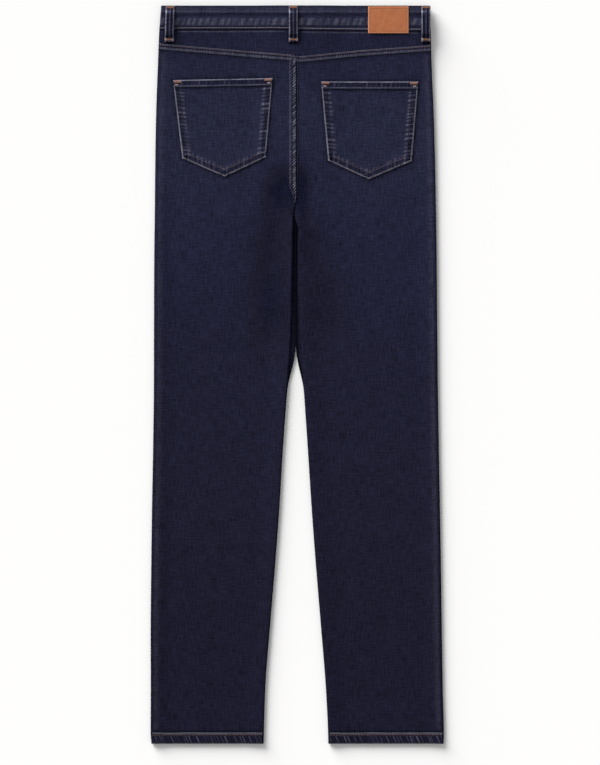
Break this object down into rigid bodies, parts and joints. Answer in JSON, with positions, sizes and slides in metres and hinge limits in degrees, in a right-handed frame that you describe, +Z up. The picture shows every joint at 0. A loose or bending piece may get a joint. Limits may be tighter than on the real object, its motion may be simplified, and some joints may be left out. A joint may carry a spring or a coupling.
{
  "type": "straight leg jeans",
  "caption": "Dark indigo straight leg jeans lying flat, back side up, with yoke, back pockets, belt loops, waist patch and a zip fly underneath.",
  "frame": {"origin": "middle of the bounding box's bottom face, on the surface that the jeans lie on", "axes": "+Z up from the surface, out of the back of the jeans; +Y from the hems to the waist; +X towards the wearer's right leg"},
  "size_m": [0.422, 1.062, 0.017],
  "materials": {
    "denim": "dark indigo stretch denim twill, matt",
    "denim_trim": "doubled indigo denim of waistband and loops, worn pale on its edges",
    "leather": "caramel leather, smooth with a fine grain",
    "thread": "copper brown topstitching thread",
    "thread_grey": "grey topstitching thread",
    "tape": "dark woven zip tape",
    "metal": "antiqued copper"
  },
  "bodies": {
    "root": {"back_left": "denim", "back_right": "denim", "yoke_left": "denim", "yoke_right": "denim", "back_pocket_left": "denim", "back_pocket_right": "denim", "front_left": "denim", "front_right": "denim", "pocket_facing_left": "denim", "pocket_facing_right": "denim", "fly_shield": "denim", "waistband_back": "denim_trim", "waistband_front_left": "denim_trim", "waistband_front_right": "denim_trim", "loop_back_left": "denim_trim", "loop_back_center": "denim_trim", "loop_back_right": "denim_trim", "loop_front_left": "denim_trim", "loop_front_right": "denim_trim", "patch": "leather", "zip": "tape", "button": "metal", "zip_slider": "metal"}
  },
  "joints": []
}
